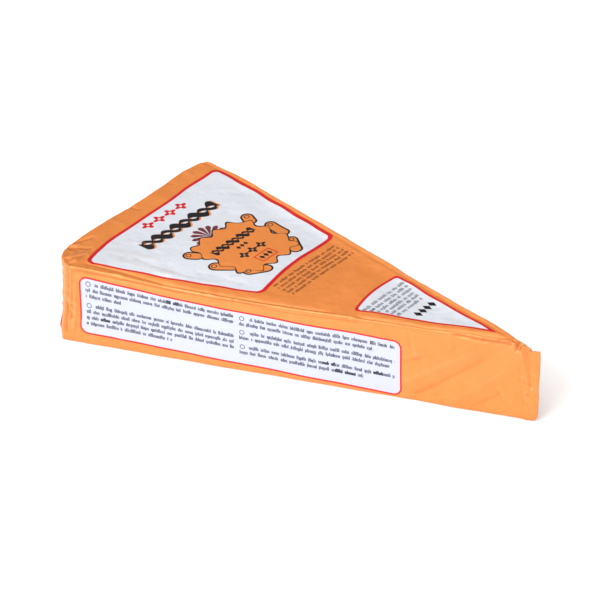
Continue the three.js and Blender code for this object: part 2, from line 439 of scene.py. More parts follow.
def wrapper_points():
    """The sheet's skin with its fin, folds and slack, and what the material needs to know of it."""
    along = graded((WHEEL_RADIUS, 0.35), (158.5, 0.72), (26.0, 0.42), (4.0, 0.3), (-FIN_REACH, 0.3))
    heights = graded((0.0, 0.4), (2.8, 0.85), (20.0, 0.42), (HEIGHT, 0.3))
    bands = (graded((0.0, 0.34), (4.4, 0.3)), np.linspace(0.0, 1.0, 80), graded((0.0, 0.4), (3.2, 0.3)))
    corners = ((near_corner, 0.75), (far_corner, 0.0))
    points, sides, box = wedge_lattice(along, bands, heights, EDGE_RADIUS, corners, FIN_HALF)
    quads = np.concatenate(list(sides.values()))
    u, s, z, w = box["along"], box["across"], box["z"], box["half"]

    # The fin: lower than the wedge, with a tucked lower corner, leaning to the near side.
    past = smooth(-u, -1.5, 1.2)
    crown = HEIGHT - FIN_DROP * past
    tuck = 0.5 * past + FIN_TUCK * np.clip(-u / FIN_REACH, 0.0, 1.0) ** 6
    points[:, 2] = tuck + points[:, 2] / HEIGHT * (crown - tuck)
    points[:, 1] -= math.tan(FIN_LEAN) * np.log1p(np.exp(points[:, 0] * 1.5)) / 1.5
    points[:, 1] += FIN_BEND * np.log1p(np.exp((points[:, 0] - 1.6) * 3.0)) / 3.0
    points[:, 1] += past * FIN_WAVE * wander(points[:, 2], 9.0, 11) * np.clip(-u, 0.0, 3.0) / 3.0
    # Its end is drawn in, and more so at its foot.
    points[:, 0] -= past * (0.5 + 1.3 * (1.0 - z / HEIGHT)) * np.clip(-u / FIN_REACH, 0.0, 1.0)

    points[:, 2] += near_rise(u, s + w, z) - near_sag(points)
    ends = smooth(u, 2.0, 20.0) * smooth(u, 160.0, 140.0)
    points[:, 2] += FAR_RISE * ends * bell(w - s, 4.0) * np.square(z / HEIGHT)
    # The underside gives way to the lap that lies under its far half.
    top, low = z >= HEIGHT - TINY, z <= TINY
    points[:, 2] += 0.3 * low * smooth(s, -1.5, 1.5) * smooth(w - s, 0.5, 2.0)

    near, far = (s + w) < TINY, (w - s) < TINY
    heel = u > WHEEL_RADIUS - TINY
    near_up = np.where(top, s + w, z - HEIGHT)
    far_up = np.where(top, w - s, z - HEIGHT)
    heel_up = np.where(top, WHEEL_RADIUS - u, z - HEIGHT)
    on = {"near": top | near, "far": top | far, "heel": top | heel}

    high = edge_folds(box, near_up, far_up, heel_up, on)
    high += sum_of_folds(np.stack([u, near_up], 1), NEAR_FOLDS, on["near"])
    high += sum_of_folds(points[:, :2], TOP_FOLDS, top)
    high += sum_of_folds(np.stack([u, far_up], 1), far_folds(), on["far"])
    normals = normals_of(points, quads)
    before = crest_of(points, quads, normals)
    points = points + normals * high[:, None]

    crumple = 0.14 + 0.86 * crumple_mask(box, near_up, far_up, heel_up, on)
    crumple *= np.where(low, 0.25, 1.0)
    return points, sides, box, {"crumple": crumple, "before": before}


def far_folds():
    """Slack folds on the far side, seeded, mostly slanting from the top edge down to the tip."""
    random = np.random.default_rng(21)
    folds = [
        ((150.0, -1.4), (20.0, -1.2), 0.5, -0.26, 0.2),
        ((64.0, -0.4), (6.0, -3.0), 0.6, -0.34, -0.6),
        ((5.0, -2.0), (3.0, -20.0), 0.8, -0.30, 0.2),
        ((157.6, -1.0), (158.2, -24.0), 0.6, -0.34, 0.2),
        ((159.8, -3.0), (159.6, -27.0), 0.7, 0.30, 0.0),
    ]
    for _ in range(14):
        start = random.uniform(20.0, 150.0)
        drop = random.uniform(9.0, 24.0)
        end = (start - drop * random.uniform(0.8, 2.2), -3.0 - drop)
        side = random.choice([-1.0, 1.0])
        folds.append(((start, -3.0), end, random.uniform(1.5, 3.6), 0.15 * side, random.uniform(-1, 1)))
    return folds


def crumple_mask(box, near_up, far_up, heel_up, on):
    """Where the sheet is crumpled most: heel corners, edges, the tip and the heel."""
    u, s, z, w = box["along"], box["across"], box["z"], box["half"]
    from_heel = WHEEL_RADIUS - u
    mask = 0.5 * bell(u, 5.0)
    for aside, share, size in ((s + w, 0.9, 8.0), (w - s, 0.6, 6.0)):
        corner = np.square(from_heel) + np.square(aside) + 0.25 * np.square(HEIGHT - z)
        mask += share * bell(np.sqrt(corner), size)
    mask += 0.35 * on["near"] * bell(near_up, 3.0) + 0.10 * on["far"] * bell(far_up, 3.0)
    mask += 0.12 * on["heel"] * bell(heel_up, 4.0)
    mask += 0.25 * (from_heel < TINY) * (z < HEIGHT - 4.0)
    mask += 0.45 * bell(from_heel, 5.0) * (z < HEIGHT - 1.0)
    return np.clip(mask, 0.0, 1.0)


# ---------------------------------------------------------------- nodes


def srgb(code):
    """An sRGB hex value as linear RGBA."""
    parts = [int(code[i : i + 2], 16) / 255 for i in (1, 3, 5)]
    return (*(c / 12.92 if c <= 0.04045 else ((c + 0.055) / 1.055) ** 2.4 for c in parts), 1.0)


def add(tree, kind, *inputs, out=0, **settings):
    """Adds a node, gives its inputs values or links in order, and returns one of its outputs.

    A kind in capitals is a Math node's operation, or a Vector Math node's after the word VECTOR. An
    input of None is left as it is. settings with a socket's name set or link that socket.
    """
    if kind.isupper():
        settings["operation"] = kind.removeprefix("VECTOR ")
        kind = "ShaderNodeVectorMath" if kind.startswith("VECTOR ") else "ShaderNodeMath"
    made = tree.nodes.new(kind)
    named = {k: v for k, v in settings.items() if not hasattr(made, k)}
    for key, value in settings.items():
        if key not in named:
            setattr(made, key, value)
    pairs = [(made.inputs[i], v) for i, v in enumerate(inputs) if v is not None]
    pairs += [(made.inputs[key.replace("_", " ")], v) for key, v in named.items()]
    for socket, value in pairs:
        if isinstance(value, bpy.types.NodeSocket):
            tree.links.new(value, socket)
        else:
            socket.default_value = value
    return made.outputs[out]


def crumple_tree(material):
    """A Geometry Nodes tree that crumples a sheet: sharp crests where it is masked, slack between."""
    tree = bpy.data.node_groups.new("crumpled_sheet", "GeometryNodeTree")
    tree.interface.new_socket("Geometry", in_out="INPUT", socket_type="NodeSocketGeometry")
    for name in ("Crest height", "Crest size", "Slack height", "Slack size"):
        tree.interface.new_socket(name, in_out="INPUT", socket_type="NodeSocketFloat")
    tree.interface.new_socket("Geometry", in_out="OUTPUT", socket_type="NodeSocketGeometry")
    given = tree.nodes.new("NodeGroupInput").outputs
    node = partial(add, tree)
    place = node("GeometryNodeInputPosition")
    normal = node("GeometryNodeInputNormal")
    mask = node("GeometryNodeInputNamedAttribute", "crumple", data_type="FLOAT")
    crest_scale = node("DIVIDE", 1.0, given["Crest size"])
    crest = node(
        "ShaderNodeTexNoise", place, Scale=crest_scale, Detail=2.5, Roughness=0.42, Lacunarity=2.1,
        noise_type="RIDGED_MULTIFRACTAL", normalize=True, Distortion=0.35,
    )
    crest = node("SUBTRACT", crest, 0.5)
    crest = node("MULTIPLY", crest, mask)
    crest = node("MULTIPLY", crest, given["Crest height"])
    slack_scale = node("DIVIDE", 1.0, given["Slack size"])
    slack = node("ShaderNodeTexNoise", place, Scale=slack_scale, Detail=1.0, Roughness=0.4)
    slack = node("SUBTRACT", slack, 0.5)
    slack = node("MULTIPLY", slack, given["Slack height"])
    rise = node("ADD", crest, slack)
    offset = node("VECTOR SCALE", normal, Scale=rise)
    shape = node("GeometryNodeSetPosition", given["Geometry"], Offset=offset)
    shape = node("GeometryNodeRealizeInstances", shape)
    shape = node("GeometryNodeSetMaterial", shape, Material=material)
    tree.links.new(shape, tree.nodes.new("NodeGroupOutput").inputs[0])
    return tree


def crumpled(piece, tree, crest, slack):
    """piece with the crumple tree's folds, as a plain mesh. crest and slack are (height, size)."""
    modifier = piece.modifiers.new("crumple", "NODES")
    modifier.node_group = tree
    values = {
        "Crest height": crest[0] * MM,
        "Crest size": crest[1] * MM,
        "Slack height": slack[0] * MM,
        "Slack size": slack[1] * MM,
    }
    for item in tree.interface.items_tree:
        if item.name in values:
            modifier[item.identifier] = values[item.name]
    depsgraph = bpy.context.evaluated_depsgraph_get()
    mesh = bpy.data.meshes.new_from_object(
        piece.evaluated_get(depsgraph), preserve_all_data_layers=True, depsgraph=depsgraph
    )
    piece.modifiers.clear()
    piece.data = mesh
    mesh.shade_smooth()
    return piece


# ---------------------------------------------------------------- the print on the sheet

INK_ORANGE = "#E58841"
INK_RED = "#CF1420"
INK_BLACK = "#17141A"
INK_BROWN = "#7C4220"
INK_GREY = "#6E7078"
INK_WINE = "#74303A"
PANEL_WHITE = "#DBDEE5"
SIDE_WHITE = "#C3C8DF"

# Where each face lies on the flat sheet, in millimetres: the top as seen from above, the near side
# below it, and everything else where there is no print.
NEAR_FLAT = -100.0
BARE_FLAT = 300.0


def flat_corners(sides, box):
    """Each face corner's place on the flat sheet, for the lattice's quads in order.

    The print wanders a little, as on a sheet that gives while it is folded tight.
    """
    top = np.stack([-box["along"] * np.cos(box["angle"]),
                    box["across"] * np.sinc(box["angle"] / math.pi)], 1)
    top += 0.22 * np.stack([wander(top[:, 1], 9.0, 71), wander(top[:, 0], 8.0, 72)], 1)
    near = np.stack([-box["along"], NEAR_FLAT + box["z"] + 0.08 * wander(box["along"], 12.0, 73)], 1)
    bare = np.stack([-box["along"], BARE_FLAT + box["z"]], 1)
    lies = {"top": top, "near": near}
    return np.concatenate([lies.get(name, bare)[quads.ravel()] for name, quads in sides.items()])


def sector(node, flat, centre, turn, half_angle, arcs, corner):
    """How far outside a panel shaped as part of a ring a place is: 0 on its outline, under 0 inside.

    Its straight sides meet at centre, and its middle line is turned from -X by turn. arcs holds the
    middle and radius of the arc towards the tip, if any, and of the arc towards the heel.
    """
    local = node("VECTOR SUBTRACT", flat, (*centre, 0.0))
    part = node("ShaderNodeSeparateXYZ", local).node.outputs
    back = node("MULTIPLY", part[0], -1.0)
    angle = node("ARCTAN2", part[1], back)
    angle = node("SUBTRACT", angle, turn)
    angle = node("ABSOLUTE", angle)
    angle = node("SUBTRACT", angle, half_angle)
    radius = node("VECTOR LENGTH", local, out=1)
    aside = node("MULTIPLY", angle, radius)
    distances = []
    for arc, outwards in zip(arcs, (-1.0, 1.0)):
        if arc:
            middle, size = arc
            reach = node("VECTOR DISTANCE", flat, (*middle, 0.0), out=1)
            reach = node("SUBTRACT", reach, size)
            distances.append(node("MULTIPLY", reach, outwards))
    ring = distances[-1]
    if len(distances) > 1:
        ring = node("MAXIMUM", *distances)
    both = node("ShaderNodeCombineXYZ", ring, aside)
    return rounded(node, both, corner)


def rounded(node, both, corner):
    """Joins two distances in X and Y into one outline with round corners."""
    both = node("VECTOR ADD", both, (corner, corner, 0.0))
    part = node("ShaderNodeSeparateXYZ", both).node.outputs
    inside = node("MAXIMUM", part[0], part[1])
    inside = node("ADD", inside, -corner)
    inside = node("MINIMUM", inside, -corner)
    outside = node("VECTOR MAXIMUM", both, (0.0, 0.0, 0.0))
    outside = node("VECTOR LENGTH", outside, out=1)
    return node("ADD", outside, inside)


def rectangle(node, local, size, corner):
    """How far outside a rectangle a place is. local is about the rectangle's middle."""
    part = node("VECTOR ABSOLUTE", local)
    part = node("VECTOR SUBTRACT", part, (size[0] / 2, size[1] / 2, 0.0))
    return rounded(node, part, corner)


def within(node, distance, limit=0.0, soft=0.12):
    """1 where a distance is under a limit and 0 past it, over a soft line as wide as printed ink's."""
    return node(
        "ShaderNodeMapRange", distance, limit - soft / 2, limit + soft / 2, 1.0, 0.0, clamp=True
    )


def local_place(node, flat, origin, turn, side=1.0):
    """Places about an origin on the flat sheet, turned so that X runs along the rows and Y down.

    side is -1 where the sheet's own Y runs up the rows.
    """
    place = node("VECTOR SUBTRACT", flat, (*origin, 0.0))
    place = node("ShaderNodeVectorRotate", place, Angle=-turn, rotation_type="Z_AXIS")
    return node("VECTOR MULTIPLY", place, (1.0, side, 1.0))


def product(node, *factors):
    """Factors multiplied together, as for tests that must all hold."""
    total = factors[0]
    for factor in factors[1:]:
        total = node("MULTIPLY", total, factor)
    return total


def cut_to(node, ink, along, length):
    """Ink kept only over a length about the middle."""
    return node("MULTIPLY", ink, node("LESS_THAN", node("ABSOLUTE", along), length / 2))


def rows_group():
    """A node group for a block of small print: rows of unreadable strokes in words.

    Vector is in millimetres from the block's top left, X along the rows and Y down. The strokes are
    half as high as the rows are apart, like printed small type, and are drawn from seeded noise.
    """
    tree = bpy.data.node_groups.new("small_print_rows", "ShaderNodeTree")
    for name, kind in (("Vector", "Vector"), ("Width", "Float"), ("Rows", "Float"),
                       ("Last row", "Float"), ("Pitch", "Float"), ("Narrowing", "Float"),
                       ("Ring mark", "Float"), ("Seed", "Float")):
        tree.interface.new_socket(name, in_out="INPUT", socket_type="NodeSocket" + kind)
    tree.interface.new_socket("Ink", in_out="OUTPUT", socket_type="NodeSocketFloat")
    given = tree.nodes.new("NodeGroupInput").outputs
    node = partial(add, tree)
    place = node("ShaderNodeSeparateXYZ", given["Vector"]).node.outputs
    down = node("DIVIDE", place[1], given["Pitch"])
    row = node("FLOOR", down)
    share = node("FRACT", down)
    last = node("SUBTRACT", given["Rows"], 1.5)
    is_last = node("GREATER_THAN", row, last)
    narrowed = node("MULTIPLY", row, given["Narrowing"])
    full = node("SUBTRACT", given["Width"], narrowed)
    short = node("MULTIPLY", full, given["Last row"])
    width = node("ShaderNodeMix", is_last, None, full, short)
    left = node("MULTIPLY", narrowed, 0.5)
    first = node("LESS_THAN", row, 0.5)
    room = product(node, first, given["Ring mark"], 3.2)
    left = node("ADD", left, room)
    right = node("ADD", left, width)
    right = node("SUBTRACT", right, room)
    inside = product(
        node,
        node("GREATER_THAN", place[0], left),
        node("LESS_THAN", place[0], right),
        node("GREATER_THAN", row, -0.5),
        node("LESS_THAN", row, given["Rows"]),
    )
    # Words: a 0.7 mm space in every 4.1 mm, moved at random along it. One in 20 is bold.
    step = node("DIVIDE", place[0], 4.1)
    cell = node("FLOOR", step)
    cell = node("ShaderNodeCombineXYZ", cell, row, given["Seed"])
    chance = node("ShaderNodeTexWhiteNoise", cell, noise_dimensions="3D")
    part = node("FRACT", step)
    middle = node("MULTIPLY_ADD", chance, 0.8, 0.1)
    space = node("COMPARE", part, middle, 0.085)
    inside = node("MULTIPLY", inside, node("SUBTRACT", 1.0, space))
    weight = node("VECTOR ADD", cell, (0.7, 0.0, 7.0))
    weight = node("ShaderNodeTexWhiteNoise", weight, noise_dimensions="3D")
    bold = node("GREATER_THAN", weight, 0.95)
    step = node("DIVIDE", place[0], 0.42)
    tick = node("FLOOR", step)
    tick = node("ShaderNodeCombineXYZ", tick, row, given["Seed"])
    tick = node("ShaderNodeTexWhiteNoise", tick, noise_dimensions="3D", out=1)
    drawn = node("ShaderNodeSeparateXYZ", tick).node.outputs
    # A tick stands on the row's base line; some are taller and a few hang below it.
    tall = node("GREATER_THAN", drawn[0], 0.70)
    start = node("MULTIPLY_ADD", tall, -0.19, 0.38)
    low = node("LESS_THAN", drawn[0], 0.07)
    end = node("MULTIPLY_ADD", low, 0.14, 0.84)
    inside = product(
        node, inside, node("GREATER_THAN", share, start), node("LESS_THAN", share, end)
    )
    # The upright is 0.6 of its step wide, or 0.9 in a bold word; the rest is a half-tone joint.
    part = node("FRACT", step)
    wide = node("MULTIPLY_ADD", bold, 0.3, 0.62)
    stroke = node("LESS_THAN", part, wide)
    joint = node("MULTIPLY", drawn[1], 0.45)
    stroke = node("MAXIMUM", stroke, joint)
    ink = node("MULTIPLY", inside, stroke)
    # The ring that marks a paragraph's start is 1.8 mm across.
    ring = node("VECTOR SUBTRACT", given["Vector"], (1.0, 1.25, 0.0))
    ring = node("VECTOR LENGTH", ring, out=1)
    ring = node("COMPARE", ring, 0.78, 0.12)
    ring = node("MULTIPLY", ring, given["Ring mark"])
    ink = node("MAXIMUM", ink, ring)
    tree.links.new(ink, tree.nodes.new("NodeGroupOutput").inputs[0])
    return tree


def small_print(node, rows, place, size, seed, last=1.0, pitch=2.2, narrowing=0.0, mark=0.0):
    """The ink of one block of small print, of size (width, rows), from its top left.

    last is the last row's share of the width, pitch the distance between rows, narrowing how much
    shorter each row is than the one above, and mark is 1 for a ring before the first row.
    """
    width, count = size
    return node(
        "ShaderNodeGroup", place, width, float(count), last, pitch, narrowing, mark, seed,
        node_tree=rows,
    )


def lozenges(node, place, count, pitch, half_wide, half_high):
    """The ink of a row of lozenges about the middle of place."""
    part = node("ShaderNodeSeparateXYZ", place).node.outputs
    along = node("ADD", part[0], pitch * count / 2)
    share = node("DIVIDE", along, pitch)
    share = node("FRACT", share)
    aside = node("SUBTRACT", share, 0.5)
    aside = node("ABSOLUTE", aside)
    aside = node("MULTIPLY", aside, pitch / half_wide)
    rise = node("ABSOLUTE", part[1])
    rise = node("MULTIPLY", rise, 1.0 / half_high)
    both = node("ADD", aside, rise)
    return cut_to(node, within(node, both, 1.0, 0.12 / half_wide), part[0], pitch * count)


def braid(node, place, length, turn, height, weight=1.0):
    """The ink of a braid: two waves that cross, thick and thin like pen strokes.

    turn is the length between two crossings, and weight scales the strokes.
    """
    part = node("ShaderNodeSeparateXYZ", place).node.outputs
    phase = node("MULTIPLY", part[0], math.pi / turn)
    wave = node("SINE", phase)
    wave = node("MULTIPLY", wave, height / 2)
    slope = node("COSINE", phase)
    heavy = node("MULTIPLY_ADD", slope, 1.1 * weight, 1.35 * weight)
    light = node("MULTIPLY_ADD", slope, -0.5 * weight, 0.85 * weight)
    strands = []
    for operation, thick in (("SUBTRACT", heavy), ("ADD", light)):
        gap = node(operation, part[1], wave)
        gap = node("ABSOLUTE", gap)
        gap = node("SUBTRACT", gap, thick)
        strands.append(within(node, gap))
    return cut_to(node, node("MAXIMUM", *strands), part[0], length)


def rosettes(node, place, count, pitch, radius):
    """The ink of a row of four-petalled flowers about the middle of place."""
    part = node("ShaderNodeSeparateXYZ", place).node.outputs
    along = node("ADD", part[0], pitch * count / 2)
    along = node("MODULO", along, pitch)
    along = node("SUBTRACT", along, pitch / 2)
    turn = node("ARCTAN2", part[1], along)
    turn = node("MULTIPLY", turn, 4.0)
    petal = node("COSINE", turn)
    petal = node("MULTIPLY_ADD", petal, 0.26 * radius, 0.74 * radius)
    reach = node("ShaderNodeCombineXYZ", along, part[1])
    reach = node("VECTOR LENGTH", reach, out=1)
    edge = node("SUBTRACT", reach, petal)
    eye = node("GREATER_THAN", reach, 0.22 * radius)
    ink = node("MULTIPLY", within(node, edge), eye)
    return cut_to(node, ink, part[0], pitch * count)


def printed(node, below, ink, colour):
    """Ink over what is already printed."""
    colour = srgb(colour) if isinstance(colour, str) else colour
    nothing = (None,) * 5
    return node("ShaderNodeMix", ink, *nothing, below, colour, data_type="RGBA", out=2)


def shifted(node, place, x, y):
    """Places about (x, y)."""
    return node("VECTOR SUBTRACT", place, (x, y, 0.0))


ROWS_TURN = math.radians(86.0)  # the top's rows run across the wedge
SIDE_TURN = math.radians(-1.7)  # the near side's rows drop a little towards the tip


def framed_panel(node, flat, colour, turn, half_angle, outline, inner):
    """A white panel in a red outline, each a sector's (centre, arcs, corner). Angles in degrees."""
    turn, half_angle = math.radians(turn), math.radians(half_angle)
    for (centre, arcs, corner), ink in ((outline, INK_RED), (inner, PANEL_WHITE)):
        shape = sector(node, flat, centre, turn, half_angle, arcs, corner)
        colour = printed(node, colour, within(node, shape), ink)
    return colour


def top_print(node, flat, rows, colour):
    """The top: the big panel with its ornaments, small print under it, and the panel at the tip."""
    row_at = partial(local_place, node, flat, turn=ROWS_TURN, side=-1.0)
    outline = ((-18.8, 2.8), (((23.0, 1.4), 114.3), ((8.0, 5.0), 161.4)), 2.5)
    inner = ((-22.9, 2.5), (((23.0, 1.4), 115.7), ((8.0, 5.0), 160.1)), 1.9)
    colour = framed_panel(node, flat, colour, -0.7, 15.9, outline, inner)

    row = row_at((-147.4, 3.6))
    colour = printed(node, colour, rosettes(node, row, 4, 5.3, 2.5), INK_RED)
    row = row_at((-138.4, 1.4))
    shade = shifted(node, row, 0.45, 0.4)
    colour = printed(node, colour, braid(node, shade, 36.0, 4.5, 3.4), INK_ORANGE)
    colour = printed(node, colour, braid(node, row, 36.0, 4.5, 3.4), INK_BLACK)

    colour = plaque(node, flat, colour)

    ink = small_print(node, rows, row_at((-90.4, -12.8)), (30.5, 5), 1.0, pitch=1.95)
    colour = printed(node, colour, ink, INK_BROWN)

    outline = ((-11.7, 0.5), (None, ((-11.7, 1.2), 48.9)), 1.5)
    inner = ((-15.1, 0.5), (None, ((-11.7, 1.2), 47.9)), 1.2)
    colour = framed_panel(node, flat, colour, 0.6, 14.3, outline, inner)
    row = row_at((-57.4, -9.4))
    ink = small_print(node, rows, row, (20.0, 6), 2.0, pitch=2.15, narrowing=1.5)
    colour = printed(node, colour, ink, INK_GREY)
    ink = lozenges(node, row_at((-39.8, 1.2)), 4, 2.35, 1.1, 1.9)
    return printed(node, colour, ink, INK_BLACK)


ROLL_SIZE = 3.9  # across a rolled end
# The plaque's rolled ends: middle (x, y), turn in degrees, length.
PLAQUE_ROLLS = [
    ((-14.4, -9.6), 62.0, 6.6),
    ((14.2, -10.4), 120.0, 6.6),
    ((-13.6, 3.0), 56.0, 10.0),
    ((-8.6, 13.0), 38.0, 9.6),
    ((15.0, 1.2), 100.0, 10.0),
    ((10.4, 12.2), 124.0, 9.6),
]


def plaque(node, flat, colour):
    """A plain parchment plaque with wavy edges and rolled ends; on it only simple ornaments."""
    place = local_place(node, flat, (-112.0, 1.9), ROWS_TURN, -1.0)
    part = node("ShaderNodeSeparateXYZ", place).node.outputs
    wave = node("ShaderNodeCombineXYZ", part[1], part[0])
    wave = node("VECTOR MULTIPLY", wave, (0.85, 0.95, 0.0))
    wave = node("VECTOR SINE", wave)
    wave = node("VECTOR MULTIPLY", wave, (1.1, 1.2, 0.0))
    torn = node("VECTOR ADD", place, wave)
    body = rectangle(node, torn, (26.0, 28.0), 7.0)
    rolls, rings = [], []
    for middle, turn, length in PLAQUE_ROLLS:
        roll = local_place(node, place, middle, math.radians(turn))
        rolls.append(rectangle(node, roll, (length, ROLL_SIZE), ROLL_SIZE / 2))
        reach = node("VECTOR LENGTH", shifted(node, roll, 1.6 - length / 2, 0.0), out=1)
        rings.append(node("COMPARE", reach, 0.85, 0.16))
    colour = printed(node, colour, fan(node, shifted(node, place, -1.6, -13.4)), INK_WINE)
    for shape in (body, *rolls):
        colour = printed(node, colour, within(node, shape, 0.45), INK_BLACK)
    for shape in (*rolls, body):
        colour = printed(node, colour, within(node, shape, 0.1), INK_BLACK)
        colour = printed(node, colour, within(node, shape, -0.22), INK_ORANGE)
    for ring in rings:
        colour = printed(node, colour, ring, INK_BLACK)

    row = shifted(node, place, 0.0, -5.2)
    colour = printed(node, colour, braid(node, row, 20.0, 2.5, 2.2, 0.62), INK_BLACK)
    row = shifted(node, place, 0.0, -1.0)
    colour = printed(node, colour, lozenges(node, row, 3, 1.8, 0.8, 1.1), INK_BLACK)
    row = shifted(node, place, 0.0, 3.6)
    colour = printed(node, colour, rosettes(node, row, 3, 4.2, 2.0), INK_BLACK)
    row = shifted(node, place, 0.0, 9.2)
    edge = rectangle(node, row, (7.6, 4.6), 0.3)
    line = node("COMPARE", edge, -0.22, 0.22)
    colour = printed(node, colour, line, INK_RED)
    return printed(node, colour, lozenges(node, row, 3, 1.9, 0.8, 1.35), INK_BLACK)


def fan(node, place):
    """The ink of an open fan of petals over a bar, about the middle of its bar."""
    part = node("ShaderNodeSeparateXYZ", place).node.outputs
    turn = node("ARCTAN2", part[1], part[0])
    petals = node("MULTIPLY", turn, 14.0)
    petals = node("COSINE", petals)
    reach = node("VECTOR LENGTH", place, out=1)
    edge = node("MULTIPLY_ADD", petals, -0.55, reach)
    edge = within(node, edge, 6.3)
    ribs = node("GREATER_THAN", petals, -0.72)
    above = node("LESS_THAN", part[1], 0.0)
    leaf = node("MULTIPLY", edge, ribs)
    leaf = node("MULTIPLY", leaf, above)
    bar = rectangle(node, shifted(node, place, 0.0, 0.6), (11.4, 1.5), 0.5)
    return node("MAXIMUM", leaf, within(node, bar))


def side_print(node, flat, rows, colour):
    """The near side: one long panel with rounded corners, two columns of small print."""
    middle = local_place(node, flat, (-98.4, NEAR_FLAT + 13.05), SIDE_TURN, -1.0)
    outline = rectangle(node, middle, (111.9, 21.0), 3.0)
    colour = printed(node, colour, within(node, outline), INK_RED)
    colour = printed(node, colour, within(node, outline, -0.62), SIDE_WHITE)
    left, right = -53.6, 0.3  # the two columns, from the panel's middle
    blocks = [
        # column, top, width, rows, share of the last row
        (left, -9.4, 52.0, 3, 0.24),
        (left, -1.6, 52.0, 4, 0.58),
        (right, -9.0, 53.2, 2, 0.86),
        (right, -3.6, 53.2, 2, 0.98),
        (right, 2.1, 53.2, 2, 0.80),
    ]
    for seed, (x, y, width, count, last) in enumerate(blocks, 3):
        place = shifted(node, middle, x, y)
        ink = small_print(node, rows, place, (width, count), float(seed), last, mark=1.0)
        colour = printed(node, colour, ink, INK_BLACK)
    return colour


def new_material(name):
    """A material with an empty node tree, that tree, and add for it."""
    material = bpy.data.materials.new(name)
    material.use_nodes = True
    tree = material.node_tree
    tree.nodes.clear()
    return material, tree, partial(add, tree)


def printed_laminate():
    """Aluminium foil laminated to thin paper, gravure printed in orange, red, white and black.

    The lacquered ink gives a satin gloss: broad soft lights that keep the orange. Sharp fold crests
    get a painted highlight, a lighter orange, and their hollows get painted shade, a darker brown.
    """
    material, tree, node = new_material("printed_foil_paper_laminate")
    flat = node("ShaderNodeUVMap", uv_map="flat_sheet")
    rows = rows_group()
    place = node("ShaderNodeTexCoord").node.outputs["Object"]

    # The ink's own unevenness: cloudy over 25 mm, mottled over 4 mm.
    cloud = node("ShaderNodeTexNoise", place, Scale=1 / (25 * MM), Detail=3.0)
    tone = node("ShaderNodeMapRange", cloud, 0.3, 0.7, 0.94, 1.04)
    mottle = node("ShaderNodeTexNoise", place, Scale=1 / (4 * MM), Detail=3.0, Roughness=0.6)
    orange = printed(node, srgb("#E0803A"), mottle, "#EA9048")
    orange = node("VECTOR SCALE", orange, Scale=tone)
    colour = top_print(node, flat, rows, orange)
    colour = side_print(node, flat, rows, colour)

    # fold_line is how far a place stands above its neighbours, in millimetres.
    folds = node("ShaderNodeAttribute", attribute_name="fold_line", out=2)
    # Painted highlight: the colour is lightened towards pale orange on fold crests. Painted shade: it
    # is darkened towards brown in fold hollows.
    light = node("ShaderNodeMapRange", folds, 0.004, 0.05, 0.0, 0.22, clamp=True)
    painted_fold_shade = node("ShaderNodeMapRange", folds, -0.004, -0.05, 0.0, 0.40, clamp=True)
    colour = printed(node, colour, light, "#F2B27C")
    colour = printed(node, colour, painted_fold_shade, "#96490F")

    # Fine crinkles 0.9 mm apart and pressed hollows 5 mm apart, as handled foil has.
    grain = node("ShaderNodeTexNoise", place, Scale=1 / (0.9 * MM), Detail=3.0)
    press = node("ShaderNodeTexNoise", place, Scale=1 / (5.0 * MM), Detail=2.0)
    bump = node("ShaderNodeBump", Height=press, Strength=0.32, Distance=1.2 * MM)
    bump = node("ShaderNodeBump", Height=grain, Strength=0.14, Distance=0.25 * MM, Normal=bump)
    gloss = node("ShaderNodeMapRange", cloud, 0.3, 0.7, 0.36, 0.46)
    surface = node(
        "ShaderNodeBsdfPrincipled", Base_Color=colour, Metallic=0.3, Roughness=gloss, Normal=bump,
        IOR=1.5,
    )
    tree.links.new(surface, tree.nodes.new("ShaderNodeOutputMaterial").inputs[0])
    return material


def soft_cheese():
    """Bloomy-rind soft cheese: a velvety white mould rind, and pale straw paste where it was cut.

    The rind is dull and soft with beige rubbed marks; the paste is moist, so it is a little glossy
    and lets some light in. The "rind" attribute is 1 on rind and 0 on paste.
    """
    material, tree, node = new_material("bloomy_rind_soft_cheese")
    place = node("ShaderNodeTexCoord").node.outputs["Object"]
    rind = node("ShaderNodeAttribute", attribute_name="rind", out=2)
    marks = node("ShaderNodeTexNoise", place, Scale=1 / (9 * MM), Detail=6.0, Roughness=0.62)
    mark = node("ShaderNodeMapRange", marks, 0.52, 0.68, 0.0, 0.7, clamp=True)
    bloom = printed(node, srgb("#F6F1E4"), mark, "#DDB98A")
    cloud = node("ShaderNodeTexNoise", place, Scale=1 / (14 * MM), Detail=3.0)
    share = node("ShaderNodeMapRange", cloud, 0.35, 0.65, 0.0, 1.0, clamp=True)
    paste = printed(node, srgb("#F3E2AE"), share, "#EAD08C")
    colour = printed(node, paste, rind, bloom)
    fuzz = node("ShaderNodeTexNoise", place, Scale=1 / (0.6 * MM), Detail=4.0)
    bump = node("ShaderNodeBump", Height=fuzz, Strength=0.35, Distance=0.2 * MM)
    rough = node("ShaderNodeMapRange", rind, 0.0, 1.0, 0.42, 0.85)
    surface = node(
        "ShaderNodeBsdfPrincipled", Base_Color=colour, Roughness=rough, Normal=bump, IOR=1.45,
        Subsurface_Weight=0.12, Subsurface_Scale=2.0 * MM,
    )
    tree.links.new(surface, tree.nodes.new("ShaderNodeOutputMaterial").inputs[0])
    return material


# ---------------------------------------------------------------- the pieces


